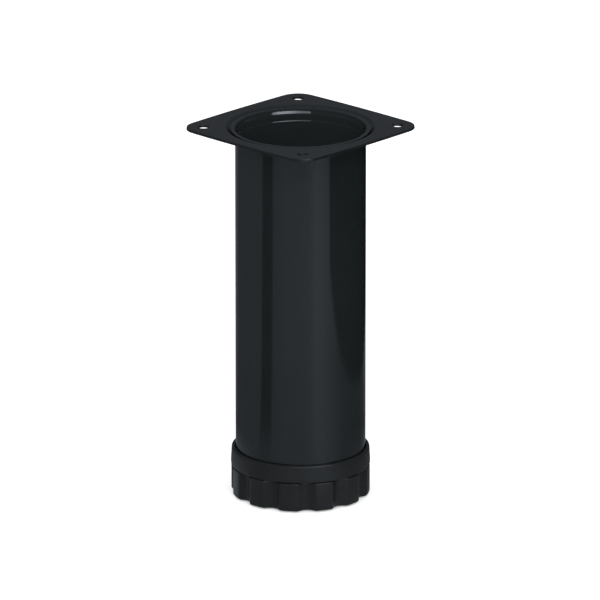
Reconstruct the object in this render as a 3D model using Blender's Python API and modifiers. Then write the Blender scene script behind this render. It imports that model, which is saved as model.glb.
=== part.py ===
"""Furniture leveling foot: a short round steel leg with a screw-on plate and a fluted screw adjuster.

Frame: metres, +Z up, origin at the bottom centre, the plate's sides along X and Y.
The named dimensions are in millimetres and are turned into metres by MM where meshes are made.
"""
import math

import bmesh
import bpy

MM = 0.001

# overall
TOTAL_HEIGHT = 176.2
GAP = 0.3
CUT_PAST = 3.0
SAME_POINT = 0.000002
TURN_STEPS = 48

# mounting plate: a pressed sheet with a dished mouth and a drawn neck round the tube
PLATE_SIDE = 79.2
PLATE_CORNER_R = 9.1
PLATE_SIDE_BOW = 0.6
PLATE_SHEET = 1.2
PLATE_EDGE = 0.25
CORNER_STEPS = 5
SIDE_STEPS = 9
SCREW_HOLE_D = 5.2
HOLE_STEPS = 24
SCREW_HOLE_PITCH = 62.7
DISH_OUTER_R = 34.6
DISH_INNER_R = 32.3
DISH_DEPTH = 1.5
DISH_BACK_SHIFT = 0.5
DISH_STEPS = 4
NECK_DEPTH = 6.4
NECK_WALL = 0.9
NECK_EDGE = 0.3

# leg tube: drawn steel tube, its top end flared over the plate's dish
TUBE_R = 30.0
TUBE_WALL = 0.8
TUBE_END_EDGE = 0.2
FLARE_CREST_R = 31.0
FLARE_CREST_DROP = 0.5
FLARE_SMALL_R = 1.2
FLARE_LARGE_R = 7.0
FLARE_BREAK_DEG = 24.0
BRIM_R = 3.0
BRIM_DEG = 111.0
BRIM_TIP_DEG = 115.0
BRIM_TIP_INSET = 0.25
SWAGE_TOP_DROP = 6.2
SWAGE_END_DROP = 6.7

# end socket: a collar outside the tube, a plug wall inside it and a ribbed boss for the nut
COLLAR_R = 32.15
COLLAR_DRAFT = 0.35
COLLAR_DRAFT_DROP = 7.0
COLLAR_ROUND = 0.8
COLLAR_TOP = 22.6
COLLAR_BOTTOM = 14.3
SOCKET_EDGE = 0.35
SOCKET_FLOOR = 2.3
PLUG_WALL = 2.0
PLUG_TOP = 38.5
PLUG_LEAD_IN = 0.9
BOSS_R = 13.0
BOSS_TOP = 27.5
BOSS_HOLE_R = 5.4
RIB_COUNT = 6
RIB_THICK = 2.0
RIB_TOP = 25.5
RIB_ROOT = 1.0

# captive nut, M10
NUT_FLATS = 17.0
NUT_HEIGHT = 8.0
NUT_BOTTOM = 15.1
NUT_BORE_R = 5.2
NUT_LEAD_IN = 0.5
NUT_STEPS = 24

# adjusting bolt, M10 x 35 with a coarse pitch of 1.5
THREAD_PITCH = 1.5
THREAD_R = 4.9
THREAD_ROOT_R = 4.1
THREAD_RUNOUT = 2.0
BOLT_POINT = 1.2
BOLT_STEPS = 20
BOLT_HEAD_FLATS = 17.0
BOLT_HEAD_HEIGHT = 6.4
BOLT_HEAD_BOTTOM = 2.2
BOLT_LENGTH = 35.0
HEX_CORNER_CUT = 1.2

# fluted foot: the hand wheel that is also the foot
FOOT_BOTTOM = 0.5
FOOT_TOP = 14.0
FOOT_R = 32.05
FOOT_EDGE_R = 0.6
FLUTE_COUNT = 12
FLUTE_DEPTH = 2.3
FLUTE_HALF_DEG = 7.6
FLUTE_BLEND_DEG = 2.6
FLUTE_PHASE_DEG = 3.7
FLUTE_STATIONS = (0.0, 0.35, 0.68, 0.9, 1.0, 1.18)

# floor glide: the disc pressed into the foot's underside, with a hole below the bolt's head
GLIDE_R = 24.0
GLIDE_HOLE_R = 6.0
GLIDE_TOP = 1.9
GLIDE_EDGE = 0.5


# ---- helpers ----


def clear_file():
    for ob in list(bpy.data.objects):
        bpy.data.objects.remove(ob, do_unlink=True)
    for col in list(bpy.data.collections):
        bpy.data.collections.remove(col)


def new_collection(name):
    col = bpy.data.collections.new(name)
    bpy.context.scene.collection.children.link(col)
    return col


def new_material(name, colour, metallic, roughness):
    mat = bpy.data.materials.new(name)
    mat.use_nodes = True
    shader = mat.node_tree.nodes["Principled BSDF"]
    shader.inputs["Base Color"].default_value = (*colour, 1.0)
    shader.inputs["Metallic"].default_value = metallic
    shader.inputs["Roughness"].default_value = roughness
    return mat


def add_object(name, mesh, collection, material=None):
    ob = bpy.data.objects.new(name, mesh)
    collection.objects.link(ob)
    if material is not None:
        ob.data.materials.append(material)
    return ob


def turned(name, points, collection, material=None, steps=TURN_STEPS):
    """A solid of revolution from (radius, height) points in mm, running down the outer side.

    The profile closes on itself, or on the axis if it starts and ends there.
    """
    count = len(points)
    on_axis = points[0][0] == 0.0 and points[-1][0] == 0.0
    edges = [(i, i + 1) for i in range(count - 1)]
    if not on_axis:
        edges.append((count - 1, 0))
    mesh = bpy.data.meshes.new(name)
    mesh.from_pydata([(r * MM, 0.0, z * MM) for r, z in points], edges, [])
    ob = add_object(name, mesh, collection, material)
    screw = ob.modifiers.new("turn", "SCREW")
    screw.axis = "Z"
    screw.angle = math.tau
    screw.steps = steps
    screw.render_steps = steps
    screw.use_merge_vertices = True
    screw.merge_threshold = SAME_POINT
    screw.use_normal_calculate = True
    return ob


def boolean(ob, tool, operation="DIFFERENCE"):
    mod = ob.modifiers.new(operation.lower() + " " + tool.name, "BOOLEAN")
    mod.operation = operation
    mod.solver = "EXACT"
    mod.object = tool
    tool.hide_render = True
    tool.display_type = "WIRE"


def cylinder(name, radius, z0, z1, collection, segments=TURN_STEPS, x=0.0, y=0.0):
    mesh = bpy.data.meshes.new(name)
    bm = bmesh.new()
    bmesh.ops.create_cone(
        bm,
        cap_ends=True,
        segments=segments,
        radius1=radius * MM,
        radius2=radius * MM,
        depth=(z1 - z0) * MM,
    )
    bm.to_mesh(mesh)
    bm.free()
    ob = add_object(name, mesh, collection)
    ob.location = (x * MM, y * MM, 0.5 * (z0 + z1) * MM)
    return ob


def hexagon(name, flats, z0, z1, collection):
    return cylinder(name, flats / math.sqrt(3.0), z0, z1, collection, segments=6)


def box(name, x_range, y_range, z_range, collection):
    mesh = bpy.data.meshes.new(name)
    bm = bmesh.new()
    bmesh.ops.create_cube(bm, size=1.0)
    for v in bm.verts:
        for axis, (low, high) in enumerate((x_range, y_range, z_range)):
            v.co[axis] = (low + (high - low) * (v.co[axis] + 0.5)) * MM
    bm.to_mesh(mesh)
    bm.free()
    return add_object(name, mesh, collection)


def apply_modifiers(ob):
    deps = bpy.context.evaluated_depsgraph_get()
    mesh = bpy.data.meshes.new_from_object(ob.evaluated_get(deps), depsgraph=deps)
    mesh.name = ob.name
    ob.modifiers.clear()
    ob.data = mesh


def shade(ob, degrees=32.0):
    ob.data.shade_smooth()
    ob.data.set_sharp_from_angle(angle=math.radians(degrees))


# ---- shared flare: the tube's mouth and the plate's neck follow the same three arcs ----


def on_arc(centre, radius, degrees):
    """A point of a circle in the profile plane; angle 0 points toward the axis, 90 points up."""
    a = math.radians(degrees)
    return (centre[0] - radius * math.cos(a), centre[1] + radius * math.sin(a))


def arc(centre, radius, start_deg, end_deg, count):
    step = (end_deg - start_deg) / (count - 1)
    return [on_arc(centre, radius, start_deg + step * i) for i in range(count)]


def brim(offset, degrees):
    """A point of the lip outward of the crest, where it lies over the plate's dish."""
    centre = (FLARE_CREST_R, TOTAL_HEIGHT - FLARE_CREST_DROP - BRIM_R)
    return on_arc(centre, BRIM_R - offset, degrees)


def flare(offset):
    """The mouth's surface from the lip's edge over its crest to the wall, moved down by offset."""
    crest = (FLARE_CREST_R, TOTAL_HEIGHT - FLARE_CREST_DROP - FLARE_SMALL_R)
    slope = math.radians(FLARE_BREAK_DEG)
    reach = FLARE_LARGE_R - FLARE_SMALL_R
    throat = (crest[0] + reach * math.cos(slope), crest[1] - reach * math.sin(slope))
    over = [brim(offset, BRIM_DEG), brim(offset, 0.5 * (BRIM_DEG + 90.0)), brim(offset, 90.0)]
    small = arc(crest, FLARE_SMALL_R - offset, 90.0, FLARE_BREAK_DEG, 4)
    large = arc(throat, FLARE_LARGE_R - offset, FLARE_BREAK_DEG, 0.0, 3)
    return over + small[1:] + large[1:]


# ---- mounting plate ----


def plate_outline():
    """A rounded square with slightly bowed sides, counter-clockwise from the +X side's top end."""
    half = PLATE_SIDE / 2.0
    flat = half - PLATE_CORNER_R
    quarter = []
    for i in range(CORNER_STEPS + 1):
        a = math.radians(90.0 * i / CORNER_STEPS)
        quarter.append((flat + PLATE_CORNER_R * math.cos(a), flat + PLATE_CORNER_R * math.sin(a)))
    for i in range(1, SIDE_STEPS):
        along = 1.0 - 2.0 * i / SIDE_STEPS
        quarter.append((flat * along, half + PLATE_SIDE_BOW * (1.0 - along ** 2)))
    out = []
    for _ in range(4):
        out += quarter
        quarter = [(-y, x) for x, y in quarter]
    return out


def dish(depth_below, shift):
    """The S-shaped step from the flat down to the seat under the tube's lip, outside to inside."""
    top = TOTAL_HEIGHT - depth_below
    out = []
    for i in range(DISH_STEPS + 1):
        t = i / DISH_STEPS
        r = DISH_OUTER_R + (DISH_INNER_R - DISH_OUTER_R) * t + shift
        out.append((r, top - DISH_DEPTH * 0.5 * (1.0 - math.cos(math.pi * t))))
    return out


def plate_rings():
    """The plate's section as (kind, size, height) rings, from the top edge inward and back below."""
    top = TOTAL_HEIGHT
    inner = TUBE_WALL + GAP
    seat = flare(inner)
    back = [p for p in flare(inner + NECK_WALL) if p[1] < top - DISH_DEPTH - NECK_WALL]
    wall = seat[-1][0]
    low = top - NECK_DEPTH
    under = dish(PLATE_SHEET, DISH_BACK_SHIFT)
    circles = dish(0.0, 0.0) + seat
    circles += [(wall, low + NECK_EDGE), (wall + NECK_EDGE, low)]
    circles += [(wall + NECK_WALL - NECK_EDGE, low), (wall + NECK_WALL, low + NECK_EDGE)]
    circles += list(reversed(back)) + list(reversed(under))
    rings = [("inset", PLATE_EDGE, top)]
    rings += [("circle", r, z) for r, z in circles]
    rings.append(("inset", PLATE_EDGE, top - PLATE_SHEET))
    rings.append(("inset", 0.0, top - PLATE_SHEET + PLATE_EDGE))
    rings.append(("inset", 0.0, top - PLATE_EDGE))
    return rings


def build_plate(collection, cutters, material):
    """A loft from the rounded square to the round neck, then the four screw holes."""
    outline = plate_outline()
    count = len(outline)
    bm = bmesh.new()
    loops = []
    for kind, size, z in plate_rings():
        loop = []
        for x, y in outline:
            length = math.hypot(x, y)
            k = size / length if kind == "circle" else (length - size) / length
            loop.append(bm.verts.new((x * k * MM, y * k * MM, z * MM)))
        loops.append(loop)
    for upper, lower in zip(loops, loops[1:] + loops[:1]):
        for a in range(count):
            b = (a + 1) % count
            bm.faces.new((upper[a], lower[a], lower[b], upper[b]))
    bmesh.ops.recalc_face_normals(bm, faces=bm.faces)
    mesh = bpy.data.meshes.new("mounting_plate")
    bm.to_mesh(mesh)
    bm.free()
    ob = add_object("mounting_plate", mesh, collection, material)
    half = SCREW_HOLE_PITCH / 2.0
    low = TOTAL_HEIGHT - PLATE_SHEET - CUT_PAST
    high = TOTAL_HEIGHT + CUT_PAST
    for k, (sx, sy) in enumerate(((1, 1), (-1, 1), (-1, -1), (1, -1)), start=1):
        name = "screw_hole_cutter_%d" % k
        radius = SCREW_HOLE_D / 2.0
        x, y = sx * half, sy * half
        boolean(ob, cylinder(name, radius, low, high, cutters, HOLE_STEPS, x, y))
    return ob


# ---- leg tube ----


def build_tube(collection, material):
    top = TOTAL_HEIGHT
    bottom = COLLAR_BOTTOM + SOCKET_FLOOR + GAP
    bore = TUBE_R - TUBE_WALL
    outside = flare(TUBE_WALL)
    inside = flare(0.0)
    tip = (BRIM_TIP_INSET, TUBE_WALL - BRIM_TIP_INSET)
    points = [brim(inset, BRIM_TIP_DEG) for inset in tip]
    points += outside
    points.append((outside[-1][0], top - SWAGE_TOP_DROP))
    points += [(TUBE_R, top - SWAGE_END_DROP), (TUBE_R, bottom + TUBE_END_EDGE)]
    points += [(TUBE_R - TUBE_END_EDGE, bottom), (bore + TUBE_END_EDGE, bottom)]
    points += [(bore, bottom + TUBE_END_EDGE), (bore, top - SWAGE_END_DROP)]
    points.append((inside[-1][0], top - SWAGE_TOP_DROP))
    points += reversed(inside)
    return turned("leg_tube", points, collection, material)


# ---- end socket ----


def build_socket(collection, cutters, material):
    low = COLLAR_BOTTOM
    floor = low + SOCKET_FLOOR
    edge = SOCKET_EDGE
    shoulder = COLLAR_R - COLLAR_DRAFT
    seat = TUBE_R + GAP
    plug = TUBE_R - TUBE_WALL - GAP
    plug_in = plug - PLUG_WALL
    points = [(seat + edge / 2.0, COLLAR_TOP)]
    for i in range(4):
        a = math.radians(30.0 * i)
        r = shoulder - COLLAR_ROUND * (1.0 - math.sin(a))
        points.append((r, COLLAR_TOP - COLLAR_ROUND * (1.0 - math.cos(a))))
    points += [(COLLAR_R, COLLAR_TOP - COLLAR_DRAFT_DROP), (COLLAR_R, low + edge)]
    points += [(COLLAR_R - edge, low), (BOSS_HOLE_R, low), (BOSS_HOLE_R, BOSS_TOP)]
    points += [(BOSS_R - edge, BOSS_TOP), (BOSS_R, BOSS_TOP - edge), (BOSS_R + edge, floor)]
    points += [(plug_in, floor), (plug_in, PLUG_TOP), (plug - PLUG_LEAD_IN, PLUG_TOP)]
    points += [(plug, PLUG_TOP - 2.0 * PLUG_LEAD_IN), (plug, floor)]
    points += [(seat, floor), (seat, COLLAR_TOP - edge / 2.0)]
    ob = turned("end_socket", points, collection, material)
    for k in range(RIB_COUNT):
        x_range = (BOSS_R - RIB_ROOT, plug_in + RIB_ROOT)
        y_range = (-RIB_THICK / 2.0, RIB_THICK / 2.0)
        rib = box("rib_tool_%d" % (k + 1), x_range, y_range, (floor - RIB_ROOT, RIB_TOP), cutters)
        rib.rotation_euler = (0.0, 0.0, math.tau * (k + 0.5) / RIB_COUNT)
        boolean(ob, rib, "UNION")
    ceiling = NUT_BOTTOM + NUT_HEIGHT + GAP
    flats = NUT_FLATS + 2.0 * GAP
    boolean(ob, hexagon("nut_pocket_cutter", flats, low - CUT_PAST, ceiling, cutters))
    return ob


# ---- captive nut and adjusting bolt ----


def hex_blank(flats, z0, z1):
    """The turned blank of a hexagon, with its corners cut back at both ends."""
    corner = flats / math.sqrt(3.0) + GAP
    face = flats / 2.0
    return [(face, z1), (corner, z1 - HEX_CORNER_CUT), (corner, z0 + HEX_CORNER_CUT), (face, z0)]


def build_nut(collection, cutters, material):
    z0 = NUT_BOTTOM
    z1 = NUT_BOTTOM + NUT_HEIGHT
    points = hex_blank(NUT_FLATS, z0, z1)
    points += [(NUT_BORE_R + NUT_LEAD_IN, z0), (NUT_BORE_R, z0 + NUT_LEAD_IN)]
    points += [(NUT_BORE_R, z1 - NUT_LEAD_IN), (NUT_BORE_R + NUT_LEAD_IN, z1)]
    ob = turned("captive_nut", points, collection, material, NUT_STEPS)
    tool = hexagon("nut_hexagon_tool", NUT_FLATS, z0 - CUT_PAST, z1 + CUT_PAST, cutters)
    boolean(ob, tool, "INTERSECT")
    return ob


def build_bolt(collection, cutters, material):
    """A hexagon head and a shank whose thread is made of rings at the thread's pitch."""
    head_low = BOLT_HEAD_BOTTOM
    head_top = head_low + BOLT_HEAD_HEIGHT
    tip = head_top + BOLT_LENGTH
    blank = [(0.0, head_top)] + hex_blank(BOLT_HEAD_FLATS, head_low, head_top) + [(0.0, head_low)]
    ob = turned("adjusting_bolt", blank, collection, material, NUT_STEPS)
    low, high = head_low - CUT_PAST, head_top + CUT_PAST
    boolean(ob, hexagon("bolt_hexagon_tool", BOLT_HEAD_FLATS, low, high, cutters), "INTERSECT")
    shank = [(0.0, tip), (THREAD_ROOT_R, tip), (THREAD_R, tip - BOLT_POINT)]
    z = tip - BOLT_POINT - THREAD_PITCH / 2.0
    while z > head_top + THREAD_RUNOUT:
        shank += [(THREAD_ROOT_R, z), (THREAD_R, z - THREAD_PITCH / 2.0)]
        z -= THREAD_PITCH
    sunk = head_top - THREAD_RUNOUT
    shank += [(THREAD_ROOT_R, z), (THREAD_ROOT_R, sunk), (0.0, sunk)]
    boolean(ob, turned("shank_tool", shank, cutters, None, BOLT_STEPS), "UNION")
    return ob


# ---- fluted foot ----


def flute_radius(from_flute_deg):
    """The foot's radius at an angle from a flute's middle: a scooped flute blended into a round lobe."""
    half = FLUTE_HALF_DEG
    blend = FLUTE_BLEND_DEG
    if from_flute_deg >= half + blend / 2.0:
        return FOOT_R
    if from_flute_deg <= half - blend / 2.0:
        return FOOT_R - FLUTE_DEPTH * (1.0 - (from_flute_deg / half) ** 2)
    t = (half + blend / 2.0 - from_flute_deg) / blend
    start = (half - blend / 2.0) / half
    drop = FLUTE_DEPTH * (1.0 - start ** 2)
    slope = FLUTE_DEPTH * 2.0 * start / half * blend
    return FOOT_R - (3.0 * drop - slope) * t ** 2 - (slope - 2.0 * drop) * t ** 3


def foot_outline():
    """Points round the foot, closest together where a lobe turns into a flute."""
    steps = [share * FLUTE_HALF_DEG for share in FLUTE_STATIONS]
    around = [-s for s in reversed(steps[1:])] + steps
    out = []
    for k in range(FLUTE_COUNT):
        middle = FLUTE_PHASE_DEG + 360.0 * (k + 0.5) / FLUTE_COUNT
        for s in around:
            a = math.radians(middle + s)
            r = flute_radius(abs(s))
            out.append((r * math.cos(a), r * math.sin(a)))
    return out


def build_foot(collection, cutters, material):
    points = foot_outline()
    curve = bpy.data.curves.new("fluted_foot", "CURVE")
    curve.dimensions = "2D"
    curve.fill_mode = "BOTH"
    curve.extrude = (0.5 * (FOOT_TOP - FOOT_BOTTOM) - FOOT_EDGE_R) * MM
    curve.bevel_depth = FOOT_EDGE_R * MM
    curve.bevel_resolution = 1
    curve.offset = -FOOT_EDGE_R * MM
    spline = curve.splines.new("POLY")
    spline.points.add(len(points) - 1)
    for point, (x, y) in zip(spline.points, points):
        point.co = (x * MM, y * MM, 0.0, 1.0)
    spline.use_cyclic_u = True
    source = add_object("fluted_foot_curve", curve, collection)
    source.location = (0.0, 0.0, 0.5 * (FOOT_BOTTOM + FOOT_TOP) * MM)
    bpy.context.view_layer.update()
    deps = bpy.context.evaluated_depsgraph_get()
    mesh = bpy.data.meshes.new_from_object(source.evaluated_get(deps), depsgraph=deps)
    mesh.name = "fluted_foot"
    mesh.transform(source.matrix_world)
    bpy.data.objects.remove(source, do_unlink=True)
    bm = bmesh.new()
    bm.from_mesh(mesh)
    bmesh.ops.remove_doubles(bm, verts=bm.verts, dist=SAME_POINT)
    bmesh.ops.recalc_face_normals(bm, faces=bm.faces)
    bm.to_mesh(mesh)
    bm.free()
    mesh.materials.clear()
    ob = add_object("fluted_foot", mesh, collection, material)
    below = FOOT_BOTTOM - CUT_PAST
    head_top = BOLT_HEAD_BOTTOM + BOLT_HEAD_HEIGHT + GAP
    pocket_flats = BOLT_HEAD_FLATS + 2.0 * GAP
    above = FOOT_TOP + CUT_PAST
    hole_r = THREAD_R + GAP
    boolean(ob, cylinder("glide_recess_cutter", GLIDE_R + GAP, below, GLIDE_TOP + GAP, cutters))
    boolean(ob, hexagon("bolt_head_pocket_cutter", pocket_flats, below, head_top, cutters))
    boolean(ob, cylinder("bolt_hole_cutter", hole_r, below, above, cutters, BOLT_STEPS))
    return ob


# ---- floor glide ----


def build_glide(collection, material):
    lead = GLIDE_EDGE / 2.0
    points = [(GLIDE_R - lead, GLIDE_TOP), (GLIDE_R, GLIDE_TOP - lead), (GLIDE_R, GLIDE_EDGE)]
    points += [(GLIDE_R - GLIDE_EDGE, 0.0), (GLIDE_HOLE_R + lead, 0.0), (GLIDE_HOLE_R, lead)]
    points += [(GLIDE_HOLE_R, GLIDE_TOP - lead), (GLIDE_HOLE_R + lead, GLIDE_TOP)]
    return turned("floor_glide", points, collection, material)


def main():
    clear_file()
    parts = new_collection("furniture_leveling_foot")
    cutters = new_collection("cutters")
    plate_enamel = new_material("plate_enamel", (0.012, 0.013, 0.014), 0.0, 0.22)
    tube_enamel = new_material("tube_enamel", (0.012, 0.013, 0.014), 0.0, 0.14)
    socket_plastic = new_material("socket_plastic", (0.014, 0.014, 0.015), 0.0, 0.42)
    foot_plastic = new_material("foot_plastic", (0.014, 0.014, 0.015), 0.0, 0.46)
    glide_plastic = new_material("glide_plastic", (0.02, 0.02, 0.021), 0.0, 0.6)
    nut_zinc = new_material("nut_zinc", (0.55, 0.56, 0.57), 1.0, 0.35)
    bolt_zinc = new_material("bolt_zinc", (0.55, 0.56, 0.57), 1.0, 0.32)
    pieces = [
        build_plate(parts, cutters, plate_enamel),
        build_tube(parts, tube_enamel),
        build_socket(parts, cutters, socket_plastic),
        build_nut(parts, cutters, nut_zinc),
        build_bolt(parts, cutters, bolt_zinc),
        build_foot(parts, cutters, foot_plastic),
        build_glide(parts, glide_plastic),
    ]
    bpy.context.view_layer.update()
    for ob in pieces:
        apply_modifiers(ob)
        shade(ob)


main()
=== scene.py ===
"""Looks for the furniture leveling foot: fine meshes, materials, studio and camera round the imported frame.

Sizes are in millimetres in the row frame (+Z up, origin under the tube's axis on the floor) and are
turned into metres where meshes are made.
"""

import math

import bmesh
import bpy
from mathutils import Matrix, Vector


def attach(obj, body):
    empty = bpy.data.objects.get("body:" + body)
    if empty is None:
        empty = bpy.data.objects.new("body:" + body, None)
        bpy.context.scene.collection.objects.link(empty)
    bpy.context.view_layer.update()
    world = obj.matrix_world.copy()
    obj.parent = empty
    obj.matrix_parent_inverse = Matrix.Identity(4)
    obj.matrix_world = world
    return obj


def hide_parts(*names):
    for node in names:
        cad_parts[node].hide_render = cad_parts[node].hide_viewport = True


MM = 0.001
TOP = 176.2
GAP = 0.3

# plate
PLATE_HALF = 39.6
PLATE_CORNER_R = 9.1
PLATE_BOW = 0.59
PLATE_SHEET = 1.2
HOLE_R = 2.6
HOLE_HALF_PITCH = 31.35
DISH_OUTER_R = 34.6
DISH_INNER_R = 32.3
DISH_DEPTH = 1.5
DISH_BACK_SHIFT = 0.5
NECK_DEPTH = 6.4
NECK_WALL = 0.9
NECK_EDGE_R = 0.35
PLATE_EDGE_R = 0.15
PLATE_EDGE_RAKE = 0.12
HOLE_RIM_R = 0.12

# tube
TUBE_R = 30.0
TUBE_WALL = 0.8
CREST_R = 31.0
CREST_DROP = 0.5
SMALL_R = 1.2
LARGE_R = 7.0
BREAK_DEG = 24.0
BRIM_R = 3.0
BRIM_DEG = 111.0
BRIM_TIP_DEG = 4.0
SWAGE_TOP_DROP = 6.2
SWAGE_END_DROP = 6.5
SWAGE_RUN_DROP = 6.9
LEDGE_TOP_DROP = 6.24
LEDGE_END_DROP = 6.48
LEDGE_INSET = 0.01
TUBE_END_R = 0.2

# socket
COLLAR_R = 32.15
COLLAR_TOP = 22.6
COLLAR_LOW = 14.3
SOCKET_FLOOR = 16.6
PLUG_R = 28.9
PLUG_IN = 26.9
PLUG_TOP = 38.5
BOSS_R = 13.0
BOSS_TOP = 27.5
BOSS_HOLE_R = 5.4
RIB_TOP = 25.5
RIB_COUNT = 6
RIB_ROOT_WIDTH = 2.3
RIB_TOP_WIDTH = 1.8
RIB_EDGE = 0.5
RIB_BURIED = 0.8

# nut and bolt
HEX_FLATS = 17.0
NUT_LOW = 15.1
NUT_HIGH = 23.1
PITCH = 1.5
THREAD_R = 4.9
ROOT_R = 4.1
TAP_ROOT_R = 5.55
TAP_CREST_R = 5.05
NUT_LEAD_R = 5.9
NUT_THROAT_R = 5.2
BOLT_POINT = 1.2
BOLT_WASHER = 0.5
HEAD_LOW = 2.2
HEAD_HIGH = 8.6
TIP = 43.6

# foot and glide
FOOT_LOW = 0.5
FOOT_HIGH = 14.0
FOOT_R = 32.05
FLUTES = 12
FLUTE_DEPTH = 2.3
FLUTE_HALF = 7.6
FLUTE_BLEND = 2.6
FLUTE_PHASE = 3.7
FOOT_STEPS = 480
FOOT_TOP_EDGE_R = 0.55
FOOT_LOW_EDGE_R = 0.9
GLIDE_R = 24.0
GLIDE_TOP = 1.9
GLIDE_HOLE_R = 6.0
GLIDE_GROOVES = (19.5, 14.5, 9.5)
GROOVE_DEPTH = 0.3

# what cutting tools reach past the surface they cut
CUT_PAST = 2.0

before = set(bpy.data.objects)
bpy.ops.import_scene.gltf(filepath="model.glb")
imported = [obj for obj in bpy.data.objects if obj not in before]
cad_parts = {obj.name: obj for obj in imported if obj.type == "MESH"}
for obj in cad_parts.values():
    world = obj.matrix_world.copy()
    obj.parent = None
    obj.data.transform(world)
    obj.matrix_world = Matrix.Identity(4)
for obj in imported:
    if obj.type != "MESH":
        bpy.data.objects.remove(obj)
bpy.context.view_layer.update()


# ---- mesh helpers ----


def to_object(bm, name):
    """Turns a bmesh into an object of the scene."""
    mesh = bpy.data.meshes.new(name)
    bm.to_mesh(mesh)
    bm.free()
    ob = bpy.data.objects.new(name, mesh)
    bpy.context.scene.collection.objects.link(ob)
    return ob


def apply_modifiers(ob):
    bpy.context.view_layer.update()
    deps = bpy.context.evaluated_depsgraph_get()
    mesh = bpy.data.meshes.new_from_object(ob.evaluated_get(deps), depsgraph=deps)
    ob.modifiers.clear()
    ob.data = mesh
    return mesh


def skin(name, rings, wrap=False, ends=False):
    """A surface through rings of equal length. wrap joins the last ring to the first; ends fills both."""
    bm = bmesh.new()
    rows = [[bm.verts.new((x * MM, y * MM, z * MM)) for x, y, z in ring] for ring in rings]
    pairs = list(zip(rows, rows[1:]))
    if wrap:
        pairs.append((rows[-1], rows[0]))
    for upper, lower in pairs:
        n = len(upper)
        for a in range(n):
            b = (a + 1) % n
            bm.faces.new((upper[a], lower[a], lower[b], upper[b]))
    if ends:
        bm.faces.new(list(reversed(rows[0])))
        bm.faces.new(rows[-1])
    bmesh.ops.recalc_face_normals(bm, faces=bm.faces)
    return to_object(bm, name)


def circle(r, z, n):
    return [(r * math.cos(math.tau * i / n), r * math.sin(math.tau * i / n), z) for i in range(n)]


def turned(name, profile, n=192, wrap=True, ends=False):
    return skin(name, [circle(r, z, n) for r, z in profile], wrap, ends)


def fillet(corners, steps=5, closed=True):
    """A profile with its corners rounded: corners are (r, z, radius)."""
    out = []
    n = len(corners)
    for i, (x, z, rad) in enumerate(corners):
        if rad <= 0.0 or (not closed and i in (0, n - 1)):
            out.append((x, z))
            continue
        p = Vector((x, z))
        a = (Vector(corners[i - 1][:2]) - p).normalized()
        b = (Vector(corners[(i + 1) % n][:2]) - p).normalized()
        half = a.angle(b) / 2.0
        if half > math.radians(88.0):
            out.append((x, z))
            continue
        cut = rad / math.tan(half)
        centre = p + (a + b).normalized() * (rad / math.sin(half))
        start = p + a * cut - centre
        end = p + b * cut - centre
        for k in range(steps + 1):
            d = start.slerp(end, k / steps).normalized() * rad
            out.append((centre.x + d.x, centre.y + d.y))
    return out


def on_arc(centre, radius, degrees):
    """A point of a circle in the profile plane; angle 0 points toward the axis and 90 points up."""
    a = math.radians(degrees)
    return (centre[0] - radius * math.cos(a), centre[1] + radius * math.sin(a))


def quarter_turn(steps):
    """Angles from 0 to 90 degrees, in radians."""
    return [math.radians(90.0 * i / steps) for i in range(steps + 1)]


def arc(centre, radius, start_deg, end_deg, count):
    step = (end_deg - start_deg) / (count - 1)
    return [on_arc(centre, radius, start_deg + step * i) for i in range(count)]


def brim(offset, degrees):
    """A point of the tube's lip outward of its crest."""
    return on_arc((CREST_R, TOP - CREST_DROP - BRIM_R), BRIM_R - offset, degrees)


def flare(offset):
    """The mouth from the lip's edge over its crest to the straight wall, moved down by offset."""
    crest = (CREST_R, TOP - CREST_DROP - SMALL_R)
    slope = math.radians(BREAK_DEG)
    reach = LARGE_R - SMALL_R
    throat = (crest[0] + reach * math.cos(slope), crest[1] - reach * math.sin(slope))
    over = [brim(offset, BRIM_DEG + (90.0 - BRIM_DEG) * i / 6.0) for i in range(6)]
    small = arc(crest, SMALL_R - offset, 90.0, BREAK_DEG, 10)
    large = arc(throat, LARGE_R - offset, BREAK_DEG, 0.0, 8)
    return over + small + large[1:]


def finish_mesh(ob, degrees=30.0):
    """Applies the modifiers, then smooth shading with sharp creases and area-weighted normals."""
    mesh = apply_modifiers(ob)
    mesh.name = ob.name
    mesh.shade_smooth()
    mesh.set_sharp_from_angle(angle=math.radians(degrees))
    weighted = ob.modifiers.new("even shading", "WEIGHTED_NORMAL")
    weighted.keep_sharp = True


def cut(ob, tools, operation="DIFFERENCE"):
    """Applies a boolean with each tool and removes the tools."""
    for tool in tools:
        mod = ob.modifiers.new("cut", "BOOLEAN")
        mod.operation = operation
        mod.solver = "EXACT"
        mod.object = tool
    apply_modifiers(ob)
    for tool in tools:
        bpy.data.objects.remove(tool, do_unlink=True)


def hexagon(name, flats, z0, z1, turn=0.0):
    r = flats / math.sqrt(3.0)
    ring = []
    for i in range(6):
        a = math.tau * i / 6 + turn
        ring.append((r * math.cos(a), r * math.sin(a)))
    return skin(name, [[(x, y, z) for x, y in ring] for z in (z1, z0)], False, True)


# ---- pieces ----


def plate_outline():
    """The plate's edge: a square with rounded corners and slightly bowed sides."""
    flat = PLATE_HALF - PLATE_CORNER_R
    quarter = []
    for a in quarter_turn(16):
        quarter.append((flat + PLATE_CORNER_R * math.cos(a), flat + PLATE_CORNER_R * math.sin(a)))
    side_steps = 48
    for i in range(1, side_steps):
        t = 1.0 - 2.0 * i / side_steps
        quarter.append((flat * t, PLATE_HALF + PLATE_BOW * (1.0 - t * t)))
    out = []
    for _ in range(4):
        out += quarter
        quarter = [(-y, x) for x, y in quarter]
    return out


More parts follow.
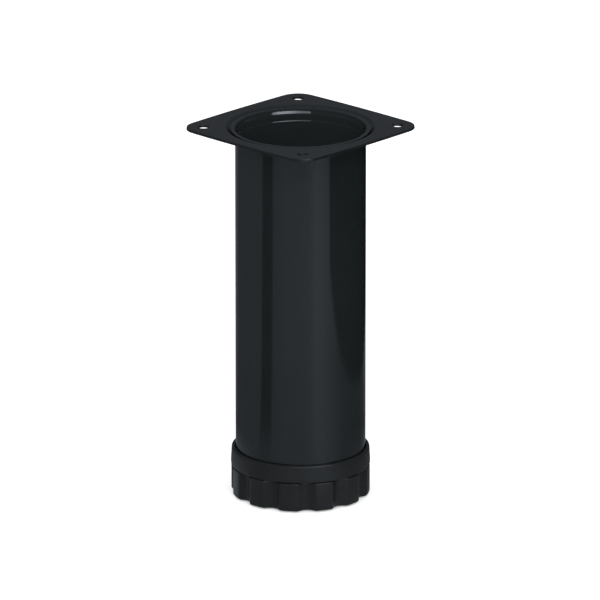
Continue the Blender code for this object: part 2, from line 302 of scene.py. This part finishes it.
def dish(below, shift):
    """The S-shaped slope from the flat plate to the seat, moved down and outward."""
    out = []
    count = 14
    for i in range(count):
        t = i / (count - 1)
        r = DISH_OUTER_R + (DISH_INNER_R - DISH_OUTER_R) * t + shift
        out.append((r, TOP - below - DISH_DEPTH * 0.5 * (1.0 - math.cos(math.pi * t))))
    return out


def hole_tool(low_edge):
    """A plug for a screw hole that leaves the hole's two rims rounded."""
    prof = [(HOLE_R + 3.0, TOP + CUT_PAST)]
    for a in [math.radians(d) for d in (75, 50, 25, 0)]:
        r = HOLE_R + HOLE_RIM_R * (1.0 - math.cos(a))
        prof.append((r, TOP - HOLE_RIM_R + HOLE_RIM_R * math.sin(a)))
    for a in [math.radians(d) for d in (0, 25, 50, 75)]:
        r = HOLE_R + HOLE_RIM_R * (1.0 - math.cos(a))
        prof.append((r, low_edge + HOLE_RIM_R - HOLE_RIM_R * math.sin(a)))
    prof.append((HOLE_R + 3.0, low_edge - CUT_PAST))
    return turned("hole_tool", prof, 48, False, True)


def build_plate():
    """A loft from the plate's edge over the dish and the seat to the neck, and back beneath."""
    inner = TUBE_WALL + GAP
    seat = flare(inner)
    wall = seat[-1][0]
    low = TOP - NECK_DEPTH
    back = [p for p in flare(inner + NECK_WALL) if p[1] < TOP - DISH_DEPTH - NECK_WALL]
    rim_corners = [
        (wall, low + 2.0, 0.0),
        (wall, low, NECK_EDGE_R),
        (wall + NECK_WALL, low, NECK_EDGE_R),
        (wall + NECK_WALL, low + 2.0, 0.0),
    ]
    rim = fillet(rim_corners, 4, False)[1:-1]
    under = dish(PLATE_SHEET, DISH_BACK_SHIFT)
    section = dish(0.0, 0.0) + seat + rim + list(reversed(back)) + list(reversed(under))
    edge = PLATE_EDGE_R
    outline = plate_outline()
    low_edge = TOP - PLATE_SHEET
    upper = []
    lower = []
    for a in quarter_turn(4):
        rise, run = 1.0 - math.sin(a), 1.0 - math.cos(a)
        upper.append((PLATE_EDGE_RAKE + edge * run, TOP - edge * rise))
        lower.append((edge * rise, low_edge + edge * run))

    def inset(amount, z):
        out = []
        for x, y in outline:
            length = math.hypot(x, y)
            k = (length - amount) / length
            out.append((x * k, y * k, z))
        return out

    def round_ring(r, z):
        out = []
        for x, y in outline:
            k = r / math.hypot(x, y)
            out.append((x * k, y * k, z))
        return out

    loops = [inset(amount, z) for amount, z in upper] + [round_ring(r, z) for r, z in section]
    loops += [inset(amount, z) for amount, z in lower]
    ob = skin("plate_visual", loops, wrap=True)
    tools = []
    for sx, sy in ((1, 1), (-1, 1), (-1, -1), (1, -1)):
        tool = hole_tool(low_edge)
        tool.location = (sx * HOLE_HALF_PITCH * MM, sy * HOLE_HALF_PITCH * MM, 0.0)
        tools.append(tool)
    cut(ob, tools)
    finish_mesh(ob, 35.0)
    return ob


def build_tube():
    low = SOCKET_FLOOR + GAP
    bore = TUBE_R - TUBE_WALL
    outside = flare(TUBE_WALL)
    inside = flare(0.0)
    roll = TUBE_WALL / 2.0
    profile = []
    for i in range(1, 6):
        a = math.radians(30.0 * i)
        profile.append(brim(roll - roll * math.cos(a), BRIM_DEG + BRIM_TIP_DEG * math.sin(a)))
    profile += outside
    profile.append((outside[-1][0], TOP - SWAGE_TOP_DROP))
    profile += [(TUBE_R, TOP - SWAGE_END_DROP), (TUBE_R, TOP - SWAGE_RUN_DROP)]
    end_corners = [
        (TUBE_R, low + 1.0, 0.0),
        (TUBE_R, low, TUBE_END_R),
        (bore, low, TUBE_END_R),
        (bore, low + 1.0, 0.0),
    ]
    profile += fillet(end_corners, 3, False)
    profile += [(bore, TOP - SWAGE_RUN_DROP), (bore, TOP - LEDGE_END_DROP)]
    profile.append((inside[-1][0] - LEDGE_INSET, TOP - LEDGE_TOP_DROP))
    profile.append((inside[-1][0], TOP - SWAGE_TOP_DROP))
    profile += list(reversed(inside))
    ob = turned("tube_visual", profile, 256)
    finish_mesh(ob, 50.0)
    return ob


def build_rib(turn):
    """A drafted rib from the boss to the plug wall, turned round the axis."""
    bm = bmesh.new()
    bmesh.ops.create_cube(bm, size=1.0)
    for v in bm.verts:
        reach = PLUG_IN - BOSS_R + 2.0 * RIB_BURIED
        v.co.x = (BOSS_R - RIB_BURIED + reach * (v.co.x + 0.5)) * MM
        v.co.y = v.co.y * (RIB_ROOT_WIDTH if v.co.z < 0.0 else RIB_TOP_WIDTH) * MM
        v.co.z = (RIB_TOP if v.co.z > 0.0 else SOCKET_FLOOR - RIB_BURIED) * MM
    middle = (RIB_TOP + SOCKET_FLOOR) / 2.0 * MM
    top_edges = []
    for e in bm.edges:
        one, other = e.verts
        lies_along = abs(one.co.x - other.co.x) > MM
        if lies_along and one.co.z > middle and other.co.z > middle:
            top_edges.append(e)
    bmesh.ops.bevel(bm, geom=top_edges, offset=RIB_EDGE * MM, segments=3, profile=0.5, affect="EDGES")
    rib = to_object(bm, "rib")
    rib.rotation_euler = (0.0, 0.0, turn)
    return rib


def build_socket():
    seat = TUBE_R + GAP
    corners = [
        (seat, COLLAR_TOP, 0.25),
        (COLLAR_R - 0.35, COLLAR_TOP, 0.8),
        (COLLAR_R, COLLAR_TOP - 6.5, 2.0),
        (COLLAR_R, COLLAR_LOW, 0.55),
        (BOSS_HOLE_R, COLLAR_LOW, 0.2),
        (BOSS_HOLE_R, BOSS_TOP, 0.3),
        (BOSS_R, BOSS_TOP, 0.5),
        (BOSS_R + 0.35, SOCKET_FLOOR, 0.8),
        (PLUG_IN - 0.2, SOCKET_FLOOR, 0.8),
        (PLUG_IN, PLUG_TOP, 0.4),
        (PLUG_R - 0.9, PLUG_TOP, 0.4),
        (PLUG_R, PLUG_TOP - 1.8, 0.6),
        (PLUG_R, SOCKET_FLOOR, 0.0),
        (seat, SOCKET_FLOOR, 0.0),
    ]
    ob = turned("socket_visual", fillet(corners, 5), 192)
    cut(ob, [build_rib(math.tau * (k + 0.5) / RIB_COUNT) for k in range(RIB_COUNT)], "UNION")
    pocket = hexagon("pocket_tool", HEX_FLATS + 2.0 * GAP, COLLAR_LOW - CUT_PAST, NUT_HIGH + GAP)
    cut(ob, [pocket])
    finish_mesh(ob, 35.0)
    return ob


def thread_radius(turns, root, crest):
    """Radius at a phase of the thread: flat root, 60 degree flanks, narrow rounded crest."""
    u = turns % 1.0
    flat, ramp, rounding = 0.1, 0.36, 0.02
    if u < flat:
        return root
    if u < flat + ramp:
        return root + (crest - root) * (u - flat) / ramp
    if u < 1.0 - ramp:
        bulge = math.sin(math.pi * (u - flat - ramp) / (1.0 - flat - 2.0 * ramp))
        return crest + rounding * bulge * (1.0 if crest > root else -1.0) - rounding
    return root + (crest - root) * (1.0 - u) / ramp


def helix(name, root, crest, z0, z1, around=72, per_turn=14, limit=None):
    """A threaded rod from z1 down to z0; limit gives the largest radius allowed at a height."""
    count = int((z1 - z0) / PITCH * per_turn)
    rings = []
    for j in range(count + 1):
        z = z1 + (z0 - z1) * j / count
        ring = []
        for i in range(around):
            a = math.tau * i / around
            r = thread_radius(z / PITCH - i / around, root, crest)
            if limit is not None:
                r = min(r, limit(z))
            ring.append((r * math.cos(a), r * math.sin(a), z))
        rings.append(ring)
    return skin(name, rings, False, True)


def hex_blank(flats, z0, z1, washer):
    """A hexagon with turned, chamfered ends; washer is the height of a bearing face at its top."""
    corner = flats / math.sqrt(3.0)
    face = flats / 2.0 - 0.15
    prof = [(0.01, z1)]
    if washer > 0.0:
        prof += [(face - 0.2, z1), (face, z1 - 0.1), (face, z1 - washer)]
    else:
        prof += [(face, z1)]
    top = z1 - washer
    drop = (corner + 0.1 - face) * math.tan(math.radians(28.0))
    prof += [(corner + 0.1, top - drop), (corner + 0.1, z0 + drop), (face, z0), (0.01, z0)]
    ob = turned("blank", prof, 96, False, True)
    cut(ob, [hexagon("hex_tool", flats, z0 - 1.0, z1 + 1.0)], "INTERSECT")
    if washer > 0.0:
        collar_prof = [(0.01, z1), (face - 0.15, z1), (face, z1 - 0.12)]
        collar_prof += [(face, top - 0.3), (0.01, top - 0.3)]
        collar = turned("washer_face", collar_prof, 96, False, True)
        cut(ob, [collar], "UNION")
    return ob


def build_nut():
    ob = hex_blank(HEX_FLATS, NUT_LOW, NUT_HIGH, 0.0)
    ob.name = "nut_visual"
    lead = [(NUT_LEAD_R, NUT_HIGH + 0.5), (NUT_THROAT_R, NUT_HIGH - 0.4)]
    lead += [(NUT_THROAT_R, NUT_LOW + 0.4), (NUT_LEAD_R, NUT_LOW - 0.5)]
    tap = helix("tap", TAP_ROOT_R, TAP_CREST_R, NUT_LOW - CUT_PAST, NUT_HIGH + CUT_PAST, 60, 12)
    cut(ob, [tap])
    cut(ob, [turned("lead_tool", lead, 60, False, True)])
    finish_mesh(ob, 30.0)
    return ob


def build_bolt():
    ob = hex_blank(HEX_FLATS, HEAD_LOW, HEAD_HIGH, BOLT_WASHER)
    ob.name = "bolt_visual"

    def limit(z):
        run_in = THREAD_R - max(0.0, z - (TIP - BOLT_POINT)) * 0.75
        run_out = ROOT_R + max(0.0, z - HEAD_HIGH - 1.2) * 0.6
        return max(0.5, min(run_in, run_out, THREAD_R))

    cut(ob, [helix("shank", ROOT_R, THREAD_R, HEAD_HIGH - 1.0, TIP, limit=limit)], "UNION")
    finish_mesh(ob, 25.0)
    return ob


def flute_drop(from_middle):
    """How far the foot's side lies inside its full radius, at an angle from a flute's middle."""
    half, blend = FLUTE_HALF, FLUTE_BLEND
    if from_middle >= half + blend / 2.0:
        return 0.0
    if from_middle <= half - blend / 2.0:
        return FLUTE_DEPTH * (1.0 - (from_middle / half) ** 2)
    t = (half + blend / 2.0 - from_middle) / blend
    start = (half - blend / 2.0) / half
    drop = FLUTE_DEPTH * (1.0 - start**2)
    slope = FLUTE_DEPTH * 2.0 * start / half * blend
    return (3.0 * drop - slope) * t**2 + (slope - 2.0 * drop) * t**3


def foot_ring(inset, z):
    """The fluted outline at a height, moved inward by inset."""
    n = FOOT_STEPS
    out = []
    pitch = 360.0 / FLUTES
    for i in range(n):
        deg = 360.0 * i / n
        off = (deg - FLUTE_PHASE) % pitch - pitch / 2.0
        r = FOOT_R - flute_drop(abs(off)) - inset
        a = math.radians(deg)
        out.append((r * math.cos(a), r * math.sin(a), z))
    return out


def build_foot():
    recess = GLIDE_R + GAP
    roof = GLIDE_TOP + GAP
    top_r, low_r = FOOT_TOP_EDGE_R, FOOT_LOW_EDGE_R
    rings = []
    for a in quarter_turn(6):
        rings.append(foot_ring(top_r * (1.0 - math.sin(a)), FOOT_HIGH - top_r * (1.0 - math.cos(a))))
    for a in quarter_turn(6):
        rings.append(foot_ring(low_r * (1.0 - math.cos(a)), FOOT_LOW + low_r * (1.0 - math.sin(a))))
    inner = fillet(
        [
            (27.0, FOOT_LOW, 0.0),
            (recess, FOOT_LOW, 0.3),
            (recess, roof, 0.2),
            (9.0, roof, 0.0),
        ],
        4,
        False,
    )
    bore = fillet(
        [
            (5.3, roof, 0.0),
            (5.3, FOOT_HIGH, 0.3),
            (11.0, FOOT_HIGH, 0.0),
            (11.6, FOOT_HIGH - 0.5, 0.2),
            (13.4, FOOT_HIGH - 0.5, 0.2),
            (14.0, FOOT_HIGH, 0.2),
            (28.0, FOOT_HIGH, 0.0),
        ],
        4,
        False,
    )
    rings += [circle(r, z, FOOT_STEPS) for r, z in inner + bore]
    ob = skin("foot_visual", rings, wrap=True)
    cut(ob, [hexagon("head_pocket", HEX_FLATS + 2.0 * GAP, FOOT_LOW - 3.0, HEAD_HIGH + GAP)])
    finish_mesh(ob, 35.0)
    return ob


def build_glide():
    """A disc with grooves in its underside."""
    corners = [(GLIDE_HOLE_R, GLIDE_TOP, 0.2), (GLIDE_R, GLIDE_TOP, 0.25)]
    corners += [(GLIDE_R, 0.35, 0.2), (GLIDE_R - 0.6, 0.0, 0.4)]
    for r in GLIDE_GROOVES:
        corners += [(r + 0.9, 0.0, 0.1), (r + 0.45, GROOVE_DEPTH, 0.15)]
        corners += [(r - 0.45, GROOVE_DEPTH, 0.15), (r - 0.9, 0.0, 0.1)]
    corners += [(GLIDE_HOLE_R, 0.0, 0.3)]
    ob = turned("glide_visual", fillet(corners, 4), 192)
    finish_mesh(ob, 40.0)
    return ob


# ---- materials ----


class Material:
    """A node material; each helper adds one node and returns its output."""

    def __init__(self, name):
        self.mat = bpy.data.materials.new(name)
        self.mat.use_nodes = True
        self.nodes = self.mat.node_tree.nodes
        self.links = self.mat.node_tree.links

    def ramp(self, value, stops):
        node = self.nodes.new("ShaderNodeValToRGB")
        bar = node.color_ramp.elements
        while len(bar) < len(stops):
            bar.new(0.5)
        for e, (pos, colour) in zip(bar, stops):
            e.position = pos
            e.color = (*colour, 1.0)
        self.links.new(value, node.inputs["Fac"])
        return node.outputs["Color"]

    def maths(self, operation, a, b):
        node = self.nodes.new("ShaderNodeMath")
        node.operation = operation
        for socket, value in zip(node.inputs, (a, b)):
            if isinstance(value, (int, float)):
                socket.default_value = value
            else:
                self.links.new(value, socket)
        return node.outputs["Value"]

    def length(self, vector):
        node = self.nodes.new("ShaderNodeVectorMath")
        node.operation = "LENGTH"
        self.links.new(vector, node.inputs[0])
        return node.outputs["Value"]


class Shader(Material):
    """A Principled material with a few helpers for its procedural inputs."""

    def __init__(self, name):
        super().__init__(name)
        self.bsdf = self.nodes["Principled BSDF"]
        self.coords = self.nodes.new("ShaderNodeTexCoord").outputs["Object"]

    def mapped(self, scale):
        node = self.nodes.new("ShaderNodeMapping")
        node.inputs["Scale"].default_value = scale
        self.links.new(self.coords, node.inputs["Vector"])
        return node.outputs["Vector"]

    def noise(self, scale, detail=3.0, vector=None):
        node = self.nodes.new("ShaderNodeTexNoise")
        node.inputs["Scale"].default_value = scale
        node.inputs["Detail"].default_value = detail
        self.links.new(vector or self.coords, node.inputs["Vector"])
        return node.outputs["Fac"]

    def cells(self, scale):
        node = self.nodes.new("ShaderNodeTexVoronoi")
        node.inputs["Scale"].default_value = scale
        self.links.new(self.coords, node.inputs["Vector"])
        return node.outputs["Distance"]

    def spread(self, value, low, high, from_low=0.3, from_high=0.7):
        node = self.nodes.new("ShaderNodeMapRange")
        node.inputs["From Min"].default_value = from_low
        node.inputs["From Max"].default_value = from_high
        node.inputs["To Min"].default_value = low
        node.inputs["To Max"].default_value = high
        self.links.new(value, node.inputs["Value"])
        return node.outputs["Result"]

    def scaled(self, colour, amount):
        node = self.nodes.new("ShaderNodeVectorMath")
        node.operation = "SCALE"
        self.links.new(colour, node.inputs[0])
        self.links.new(amount, node.inputs["Scale"])
        return node.outputs["Vector"]

    def bump(self, height, strength, distance, under=None):
        node = self.nodes.new("ShaderNodeBump")
        node.inputs["Strength"].default_value = strength
        node.inputs["Distance"].default_value = distance
        self.links.new(height, node.inputs["Height"])
        if under is not None:
            self.links.new(under, node.inputs["Normal"])
        return node.outputs["Normal"]

    def wire(self, socket, value):
        self.links.new(value, self.bsdf.inputs[socket])

    def fixed(self, **values):
        for key, value in values.items():
            self.bsdf.inputs[key.replace("_", " ")].default_value = value


COAT_DARK = (0.0071, 0.0089, 0.0095)
COAT_LIGHT = (0.0085, 0.0106, 0.0112)
INSIDE_PAINTED_LIGHT_GAIN = 2.05
INSIDE_BLEND = 0.0002
PLASTIC_LIGHT = (0.0088, 0.0105, 0.0112)


def enamel(name, rough_low, rough_high, peel, inside=0.0):
    """Gloss black enamel on pressed steel: orange peel, a little haze and a few specks in the coat.

    Nearer the axis than inside, in metres, the base colour is made lighter: painted light on the tube's
    inner walls, where shade falls.
    """
    s = Shader(name)
    broad = s.noise(22.0, 4.0)
    coat = s.ramp(broad, [(0.3, COAT_DARK), (0.7, COAT_LIGHT)])
    if inside > 0.0:
        radius = s.length(s.mapped((1.0, 1.0, 0.0)))
        # painted light: the coat is lightened nearer the axis, inside the tube, where shade falls
        inside_painted_light = s.spread(radius, INSIDE_PAINTED_LIGHT_GAIN, 1.0, inside - INSIDE_BLEND, inside + INSIDE_BLEND)
        coat = s.scaled(coat, inside_painted_light)
    s.wire("Base Color", coat)
    haze = s.spread(s.noise(60.0, 5.0), rough_low, rough_high)
    speck = s.ramp(s.cells(420.0), [(0.0, (0.12, 0.12, 0.12)), (0.06, (0.0, 0.0, 0.0))])
    s.wire("Roughness", s.maths("ADD", haze, speck))
    peel_normal = s.bump(s.noise(620.0, 2.0), peel, 0.00006)
    s.wire("Normal", s.bump(s.noise(95.0, 2.0), peel * 0.6, 0.00012, peel_normal))
    s.fixed(IOR=1.5, Metallic=0.0)
    return s.mat


def moulded(name, dark, light, rough_low, rough_high, grain):
    """Black moulded plastic: a fine spark-eroded grain with soft flow marks and rubbed patches."""
    s = Shader(name)
    flow = s.noise(30.0, 5.0, s.mapped((1.0, 1.0, 2.2)))
    s.wire("Base Color", s.ramp(flow, [(0.3, dark), (0.7, light)]))
    s.wire("Roughness", s.spread(s.noise(140.0, 6.0), rough_low, rough_high))
    fine = s.bump(s.noise(2400.0, 2.0), grain, 0.00003)
    s.wire("Normal", s.bump(s.noise(160.0, 1.0), grain * 0.2, 0.00006, fine))
    s.fixed(IOR=1.5, Metallic=0.0, Specular_IOR_Level=0.36)
    return s.mat


def zinc(name, streak):
    """Zinc plated steel: turned lines round the axis and a faint blue and yellow passivation."""
    s = Shader(name)
    tint = s.noise(160.0, 4.0)
    s.wire(
        "Base Color",
        s.ramp(tint, [(0.3, (0.50, 0.53, 0.58)), (0.5, (0.60, 0.60, 0.60)), (0.7, (0.62, 0.59, 0.50))]),
    )
    lines = s.noise(1.0, 3.0, s.mapped(streak))
    s.wire("Roughness", s.spread(lines, 0.26, 0.46))
    s.wire("Normal", s.bump(lines, 0.25, 0.00004))
    s.fixed(Metallic=1.0)
    return s.mat


def dress(ob, material, body, node):
    """Gives a piece its material and its body, and hides the node that it stands for."""
    ob.data.materials.clear()
    ob.data.materials.append(material)
    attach(ob, body)
    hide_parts(node)


def build_object():
    plate_coat = enamel("plate_enamel_look", 0.16, 0.26, 0.08)
    # the tube's coat gets painted light inside its bore
    tube_coat = enamel("tube_enamel_look", 0.05, 0.09, 0.015, 0.0296)
    socket_dark, foot_dark = (0.0066, 0.0080, 0.0085), (0.0064, 0.0078, 0.0083)
    glide_dark, glide_light = (0.020, 0.020, 0.021), (0.030, 0.030, 0.031)
    socket_black = moulded("socket_plastic_look", socket_dark, PLASTIC_LIGHT, 0.26, 0.36, 0.06)
    foot_black = moulded("foot_plastic_look", foot_dark, PLASTIC_LIGHT, 0.26, 0.38, 0.08)
    glide_black = moulded("glide_plastic_look", glide_dark, glide_light, 0.50, 0.66, 0.20)
    nut_metal = zinc("nut_zinc_look", (300.0, 300.0, 2500.0))
    bolt_metal = zinc("bolt_zinc_look", (260.0, 260.0, 2200.0))
    dress(build_plate(), plate_coat, "leg", "mounting_plate")
    dress(build_tube(), tube_coat, "leg", "leg_tube")
    dress(build_socket(), socket_black, "leg", "end_socket")
    dress(build_nut(), nut_metal, "leg", "captive_nut")
    dress(build_bolt(), bolt_metal, "adjuster", "adjusting_bolt")
    dress(build_foot(), foot_black, "adjuster", "fluted_foot")
    dress(build_glide(), glide_black, "glide", "floor_glide")


# ---- studio ----

# Angles are in degrees and lengths in metres from here on, but the sensor and lens in millimetres.
VIEW_AZIMUTH = 43.5
VIEW_PITCH = 17.88
VIEW_DISTANCE = 4.528
VIEW_AIM = 0.0926
VIEW_SENSOR = 36.0
VIEW_LENS = 591.0
VIEW_SHIFT = -0.000917
LIGHT_AIM = 0.09
FLOOR_Z = -0.0001
FLOOR_RADIUS = 6.0
FLOOR_GLOW = 0.3

# The bench has a pale sheet that ends on a slanting line or at a turn round the object (a share of
# a full turn), a dark sector that starts a little way out, painted shade near and under the foot, and
# a painted glow behind the foot.
BENCH_Z = -0.0002
BENCH_RADIUS = 4.0
SHEET_SLOPE = 0.40
SHEET_EDGE = (0.195, 0.218)
SHEET_TURN = (0.638, 0.646)
POST_REACH = (0.07, 0.17)
POST_CLEAR_LEVEL = 0.24
PAINTED_GLOW_LEVEL = 1.9

ROOM_RADIUS = 4.5
KEY_AZIMUTH = 17.0
KEY_DISTANCE = 1.5
KEY_WIDTH = 2.1
KEY_HEIGHTS = (0.24, 0.80)
KEY_PEAK = 0.35
KEY_LEVEL = 6.0
COOL = (0.94, 1.0, 1.12)


def aim(ob, target):
    ob.rotation_euler = (Vector(target) - ob.location).to_track_quat("-Z", "Y").to_euler()


def toward(azimuth, elevation, distance, centre=(0.0, 0.0, 0.0)):
    """A point seen from centre at a compass azimuth and elevation; azimuth 0 is on the -Y side."""
    a, e = math.radians(azimuth), math.radians(elevation)
    step = Vector((math.sin(a) * math.cos(e), -math.cos(a) * math.cos(e), math.sin(e)))
    return Vector(centre) + step * distance


def softbox(name, azimuth, elevation, distance, width, height, power):
    light = bpy.data.lights.new(name, "AREA")
    light.shape = "RECTANGLE"
    light.size = width
    light.size_y = height
    light.energy = power
    ob = bpy.data.objects.new(name, light)
    bpy.context.scene.collection.objects.link(ob)
    centre = (0.0, 0.0, LIGHT_AIM)
    ob.location = toward(azimuth, elevation, distance, centre)
    aim(ob, centre)
    ob.visible_glossy = False
    return ob


def glossy_only(ob):
    """A card that shows in gloss and neither lights nor shades anything."""
    ob.visible_camera = False
    ob.visible_diffuse = False
    ob.visible_shadow = False
    ob.visible_transmission = False
    ob.visible_volume_scatter = False


def disc(name, radius, z):
    bm = bmesh.new()
    bmesh.ops.create_circle(bm, cap_ends=True, segments=96, radius=radius)
    ob = to_object(bm, name)
    ob.location.z = z
    return ob


def strip(name, off_view, distance, width, heights):
    """An upright glossy-only sheet facing the object, at an angle to the right of the camera."""
    bm = bmesh.new()
    low, high = heights
    half = width / 2.0
    corners = [(-half, low), (half, low), (half, high), (-half, high)]
    bm.faces.new([bm.verts.new((u, 0.0, v)) for u, v in corners])
    ob = to_object(bm, name)
    azimuth = VIEW_AZIMUTH + off_view
    ob.location = toward(azimuth, 0.0, distance)
    ob.rotation_euler = (0.0, 0.0, math.radians(azimuth))
    glossy_only(ob)
    return ob


class Card(Material):
    """An emission material whose pattern is worked out from the card's own coordinates."""

    def __init__(self, name):
        super().__init__(name)
        self.nodes.clear()
        out = self.nodes.new("ShaderNodeOutputMaterial")
        self.glow = self.nodes.new("ShaderNodeEmission")
        self.links.new(self.glow.outputs["Emission"], out.inputs["Surface"])
        self.coords = self.nodes.new("ShaderNodeTexCoord").outputs["Object"]

    def axes(self):
        node = self.nodes.new("ShaderNodeSeparateXYZ")
        self.links.new(self.coords, node.inputs["Vector"])
        return node.outputs

    def along(self, value, low, high, to_low=0.0, to_high=1.0):
        node = self.nodes.new("ShaderNodeMapRange")
        node.interpolation_type = "SMOOTHSTEP"
        sockets = ("From Min", "From Max", "To Min", "To Max")
        for socket, number in zip(sockets, (low, high, to_low, to_high)):
            node.inputs[socket].default_value = number
        self.links.new(value, node.inputs["Value"])
        return node.outputs["Result"]

    def levels(self, value, stops):
        """A ramp of brightness in the room's slightly cool light."""
        return self.ramp(value, [(pos, tuple(level * c for c in COOL)) for pos, level in stops])

    def blend(self, share, first, second):
        node = self.nodes.new("ShaderNodeMix")
        node.data_type = "RGBA"
        self.links.new(share, node.inputs[0])
        self.links.new(first, node.inputs[6])
        self.links.new(second, node.inputs[7])
        return node.outputs[2]

    def glowing(self, socket, value):
        self.links.new(value, self.glow.inputs[socket])


def bench_stops(post):
    """Brightness of the bench against the angle round the object, seen from the camera's side."""
    left = [(-180.0, 0.22), (-160.0, 0.17), (-135.0, 0.07), (-112.0, 0.13), (-85.0, 0.20), (-72.0, 0.22)]
    left += [(-70.0, 0.22), (-68.0, post), (-50.5, post), (-46.5, 0.23), (-36.0, 0.27)]
    right = [(-20.0, 0.31), (0.0, 0.32), (14.0, 0.36), (26.0, 0.52), (36.0, 0.48), (48.0, 0.36)]
    right += [(56.0, 0.30), (65.0, 0.20), (76.0, 0.13), (90.0, 0.10), (115.0, 0.06)]
    right += [(140.0, 0.08), (158.0, 0.20), (180.0, 0.22)]
    return [(deg / 360.0 + 0.5, level) for deg, level in left + right]


def build_bench():
    """The bench that the object stands on, as its gloss sees it, with painted shade near the foot and a
    painted glow behind it.
    """
    bench = disc("bench_reflection", BENCH_RADIUS, BENCH_Z)
    bench.rotation_euler = (0.0, 0.0, math.radians(VIEW_AZIMUTH - 90.0))
    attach(bench, "glide")
    glossy_only(bench)
    card = Card("bench_glow")
    node = card.nodes.new("ShaderNodeTexGradient")
    node.gradient_type = "RADIAL"
    card.links.new(card.coords, node.inputs["Vector"])
    turn = node.outputs["Fac"]
    x, y, _ = card.axes()
    far = card.length(card.coords)
    clear = card.levels(turn, bench_stops(POST_CLEAR_LEVEL))
    post = card.levels(turn, bench_stops(0.0))
    card.glowing("Color", card.blend(card.along(far, *POST_REACH), clear, post))

    past_sheet = card.maths("SUBTRACT", y, card.maths("MULTIPLY", x, SHEET_SLOPE))
    before = card.along(turn, *SHEET_TURN, 1.0, 0.0)
    on_sheet = card.maths("MAXIMUM", card.along(past_sheet, *SHEET_EDGE, 1.0, 0.0), before)
    # painted shade: the bench is darkened near and under the foot, where the object's shadow falls
    painted_shade_wide = card.along(far, 0.03, 0.35, 0.78, 1.0)
    painted_shade_close = card.along(far, 0.04, 0.09, 0.62, 1.0)
    painted_shade = card.maths("MULTIPLY", painted_shade_wide, painted_shade_close)
    ends = card.maths("MULTIPLY", painted_shade, card.along(far, 0.8, 1.1, 1.0, 0.1))
    # painted light: a glow behind the foot that lightens the sides of the collar and foot in their
    # reflection
    painted_glow_side = card.along(x, -0.02, 0.04, PAINTED_GLOW_LEVEL, 0.0)
    behind = card.maths("MULTIPLY", painted_glow_side, card.along(far, 0.05, 0.12, 1.0, 0.0))
    card.glowing("Strength", card.maths("MULTIPLY", on_sheet, card.maths("ADD", ends, behind)))
    bench.data.materials.append(card.mat)


def build_room():
    """A dim room, a little lighter toward its ceiling."""
    bm = bmesh.new()
    bmesh.ops.create_uvsphere(bm, u_segments=48, v_segments=24, radius=ROOM_RADIUS)
    bmesh.ops.delete(bm, geom=[v for v in bm.verts if v.co.z < -0.01], context="VERTS")
    room = to_object(bm, "room_reflection")
    glossy_only(room)
    card = Card("room_glow")
    height = card.along(card.axes()[2], 0.0, ROOM_RADIUS)
    stops = [(0.0, 0.05), (0.08, 0.08), (0.25, 0.105), (0.6, 0.18), (1.0, 0.28)]
    card.glowing("Color", card.levels(height, stops))
    card.glow.inputs["Strength"].default_value = 1.0
    room.data.materials.append(card.mat)


def build_window():
    """A long window light that fades to both sides of its brightest upright line."""
    window = strip("window_reflection", KEY_AZIMUTH, KEY_DISTANCE, KEY_WIDTH, KEY_HEIGHTS)
    card = Card("window_glow")
    side = card.maths("ABSOLUTE", card.maths("SUBTRACT", card.axes()[0], KEY_PEAK), 0.0)
    card.glowing("Strength", card.along(side, 0.1, 0.9, KEY_LEVEL, KEY_LEVEL * 0.4))
    card.glow.inputs["Color"].default_value = (*COOL, 1.0)
    window.data.materials.append(card.mat)


def build_studio():
    scene = bpy.context.scene
    scene.view_settings.view_transform = "Standard"
    world = bpy.data.worlds.new("studio")
    scene.world = world
    world.use_nodes = True
    background = world.node_tree.nodes["Background"]
    background.inputs["Color"].default_value = (1.0, 1.0, 1.0, 1.0)
    background.inputs["Strength"].default_value = 1.0
    world.cycles_visibility.glossy = False

    # The glide stands on the floor, so the floor keeps under it when the foot is screwed out.
    floor = disc("studio_floor", FLOOR_RADIUS, FLOOR_Z)
    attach(floor, "glide")
    paper = Shader("studio_paper")
    tones = [(0.3, (0.92, 0.92, 0.92)), (0.7, (0.94, 0.94, 0.94))]
    paper.wire("Base Color", paper.ramp(paper.noise(3.0, 3.0), tones))
    paper.fixed(Roughness=0.9, Specular_IOR_Level=0.1, Emission_Strength=FLOOR_GLOW)
    paper.bsdf.inputs["Emission Color"].default_value = (1.0, 1.0, 1.0, 1.0)
    floor.data.materials.append(paper.mat)
    floor.visible_glossy = False
    softbox("key_softbox", VIEW_AZIMUTH + 20.0, 40.0, 1.5, 0.5, 0.35, 5.0)
    softbox("fill_softbox", VIEW_AZIMUTH - 30.0, 35.0, 2.2, 1.2, 1.2, 8.0)
    build_bench()
    build_room()
    build_window()


def build_camera():
    data = bpy.data.cameras.new("view")
    data.sensor_width = VIEW_SENSOR
    data.lens = VIEW_LENS
    data.shift_x = VIEW_SHIFT
    data.clip_end = 100.0
    cam = bpy.data.objects.new("view", data)
    bpy.context.scene.collection.objects.link(cam)
    target = (0.0, 0.0, VIEW_AIM)
    cam.location = toward(VIEW_AZIMUTH, VIEW_PITCH, VIEW_DISTANCE, target)
    aim(cam, target)
    bpy.context.scene.camera = cam


build_object()
build_studio()
build_camera()
bpy.context.view_layer.update()
